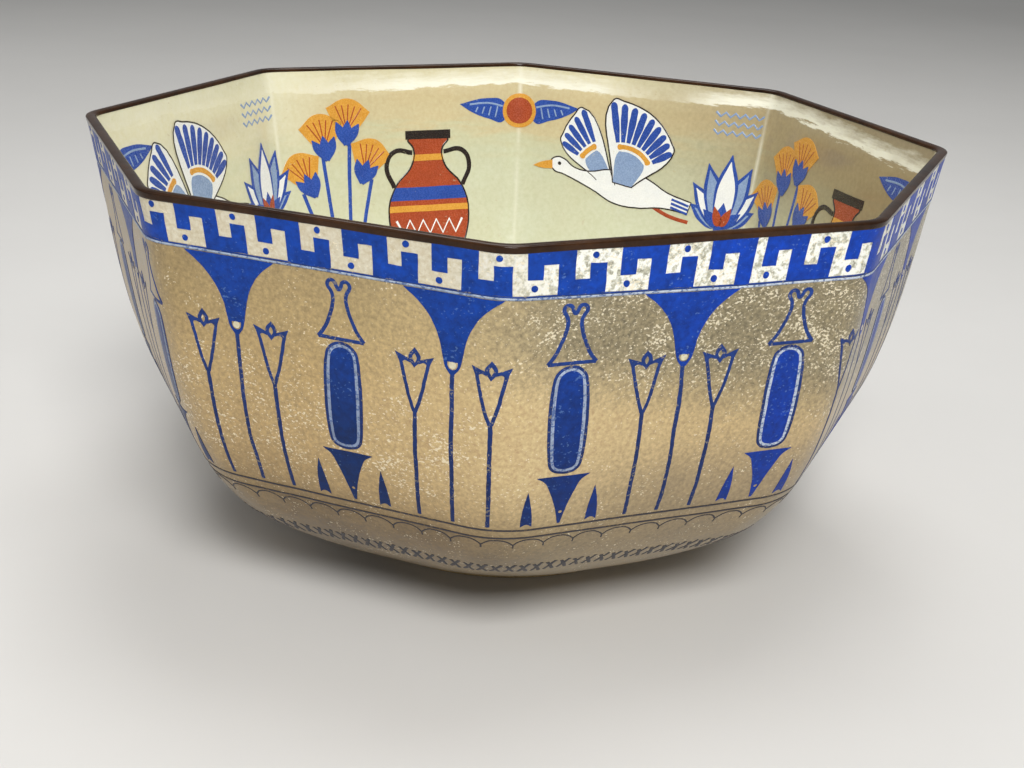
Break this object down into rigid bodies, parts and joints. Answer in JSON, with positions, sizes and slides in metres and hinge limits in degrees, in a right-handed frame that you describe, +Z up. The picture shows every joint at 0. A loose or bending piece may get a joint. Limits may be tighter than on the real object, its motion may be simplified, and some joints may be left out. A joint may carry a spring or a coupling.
{
  "type": "octagonal bowl",
  "caption": "Eight-sided glazed ceramic bowl with softly rounded corners, bulging walls, a brown rim edging and a turned foot ring, for fruit or display.",
  "frame": {"origin": "centre of the foot ring's underside, on the surface that the bowl stands on", "axes": "+Z up along the bowl's axis; flat sides of the octagon face +X, -X, +Y and -Y"},
  "size_m": [0.2284, 0.2284, 0.1182],
  "materials": {
    "biscuit": "matt biscuit-fired clay",
    "foot_clay": "matt clay, bare where it stands",
    "outer_lustre": "glossy mottled golden lustre",
    "inner_glaze": "glossy pale green and cream",
    "base_glaze": "glossy cream",
    "rim_brown": "glossy dark brown"
  },
  "bodies": {
    "root": {"biscuit_body": "biscuit", "foot_ring": "foot_clay", "outer_glaze": "outer_lustre", "inner_glaze": "inner_glaze", "base_glaze": "base_glaze", "rim_edging": "rim_brown"}
  },
  "joints": []
}
